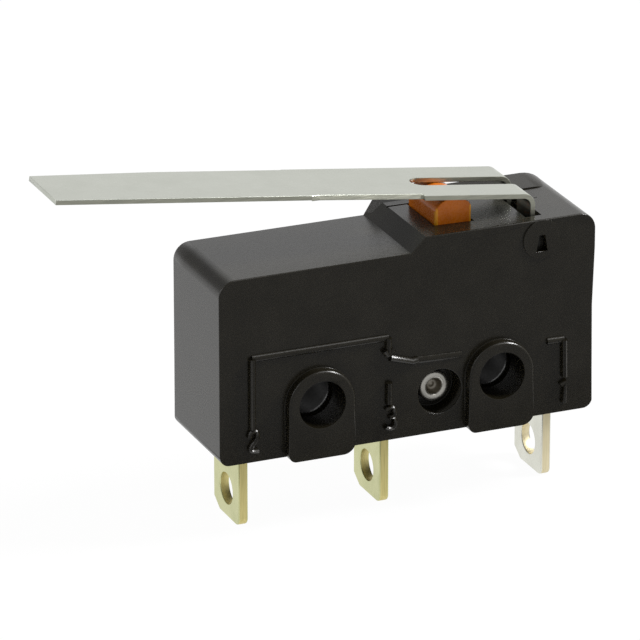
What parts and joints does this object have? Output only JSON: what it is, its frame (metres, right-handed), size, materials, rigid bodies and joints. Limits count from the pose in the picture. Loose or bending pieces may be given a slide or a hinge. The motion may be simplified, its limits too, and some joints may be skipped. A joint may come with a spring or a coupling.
{
  "type": "lever micro switch",
  "caption": "Snap-action micro switch: flat moulded housing with fixing holes, push button under a long hinged metal lever, and flat solder tags below.",
  "frame": {"origin": "midway between the two fixing holes, on their centre line, at half the thickness of the housing without its pads", "axes": "+X along the housing towards the lever's hinge, +Y across the housing towards its flat cover, +Z away from the terminals, towards the button"},
  "size_m": [0.0275, 0.0064, 0.0183],
  "materials": {
    "housing": "satin gloss, moulded",
    "button": "gloss, moulded",
    "lever": "rolled stainless strip",
    "rivet": "bright plated",
    "common_tag": "plated, satin",
    "tags": "satin",
    "contacts": "polished silver",
    "blade": "rolled copper alloy"
  },
  "bodies": {
    "housing": {"case": "housing", "cover": "housing", "housing_rivet": "rivet", "common_terminal": "common_tag", "open_terminal": "tags", "closed_terminal": "tags", "open_contact": "contacts", "closed_contact": "contacts"},
    "lever": {"lever": "lever"},
    "button": {"push_button": "button"},
    "blade": {"snap_blade": "blade", "moving_contact": "contacts"}
  },
  "joints": [
    {"name": "lever_hinge", "type": "hinge", "parent": "housing", "child": "lever", "pos_m": [0.00715, 0, 0.00648], "axis": [0, -1, 0], "range_deg": [0, 9.4], "stiffness_Nm_per_rad": 0.02, "springref_deg": -3.44},
    {"name": "button_slide", "type": "slide", "parent": "housing", "child": "button", "axis": [0, 0, -1], "range_m": [0, 0.000708]},
    {"name": "blade_swing", "type": "hinge", "parent": "housing", "child": "blade", "pos_m": [0.00835, 0, 0.00453], "axis": [0, -1, 0], "range_deg": [0, 2.42]}
  ],
  "couplings": [
    {"joint": "button_slide", "follows": "lever_hinge", "m_per_rad": 0.0043085},
    {"joint": "blade_swing", "follows": "lever_hinge", "ratio": 0.25741}
  ]
}
